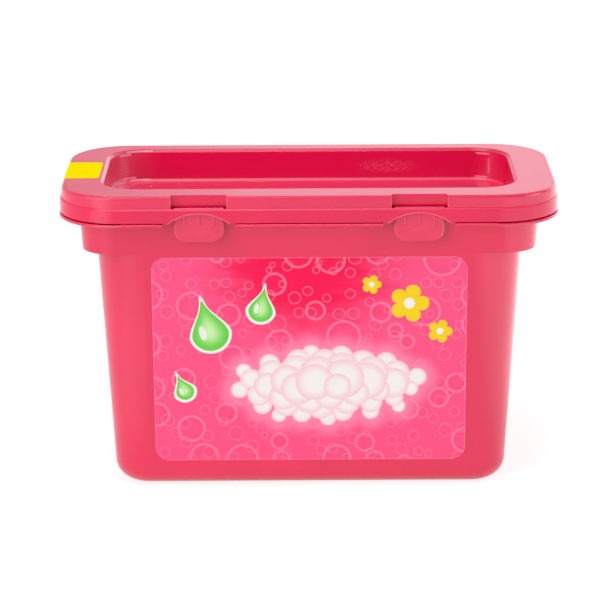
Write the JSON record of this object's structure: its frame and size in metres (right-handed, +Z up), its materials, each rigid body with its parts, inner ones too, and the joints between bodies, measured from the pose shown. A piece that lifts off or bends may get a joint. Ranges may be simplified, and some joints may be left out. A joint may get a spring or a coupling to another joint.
{
  "type": "laundry pod tub",
  "caption": "Drafted rectangular plastic tub for laundry pods with a rear-hinged lid, a stacking well in the lid, front press tabs, a front label and a rim sticker.",
  "frame": {"origin": "middle of the tub's flat base", "axes": "+Z up, +X along the tub's length to the right of someone facing the label, -Y towards them"},
  "size_m": [0.226, 0.1094, 0.1416],
  "materials": {
    "tub_plastic": "satin moulded",
    "lid_plastic": "polished moulded",
    "label_film": "printed film",
    "sticker_film": "plain film"
  },
  "bodies": {
    "tub": {"tub": "tub_plastic", "front_label": "label_film"},
    "lid": {"lid": "lid_plastic", "rim_sticker": "sticker_film"},
    "press_tab_left": {"press_tab_left": "tub_plastic"},
    "press_tab_right": {"press_tab_right": "tub_plastic"}
  },
  "joints": [
    {"name": "lid_hinge", "type": "hinge", "parent": "tub", "child": "lid", "pos_m": [0, 0.05469, 0.13445], "axis": [-1, 0, 0], "range_deg": [0, 110]},
    {"name": "left_tab_press", "type": "hinge", "parent": "tub", "child": "press_tab_left", "pos_m": [-0.049, -0.04839, 0.13515], "axis": [1, 0, 0], "range_deg": [0, 8], "stiffness_Nm_per_rad": 0.5, "springref_deg": -2.86},
    {"name": "right_tab_press", "type": "hinge", "parent": "tub", "child": "press_tab_right", "pos_m": [0.049, -0.04839, 0.13515], "axis": [1, 0, 0], "range_deg": [0, 8], "stiffness_Nm_per_rad": 0.5, "springref_deg": -2.86}
  ]
}
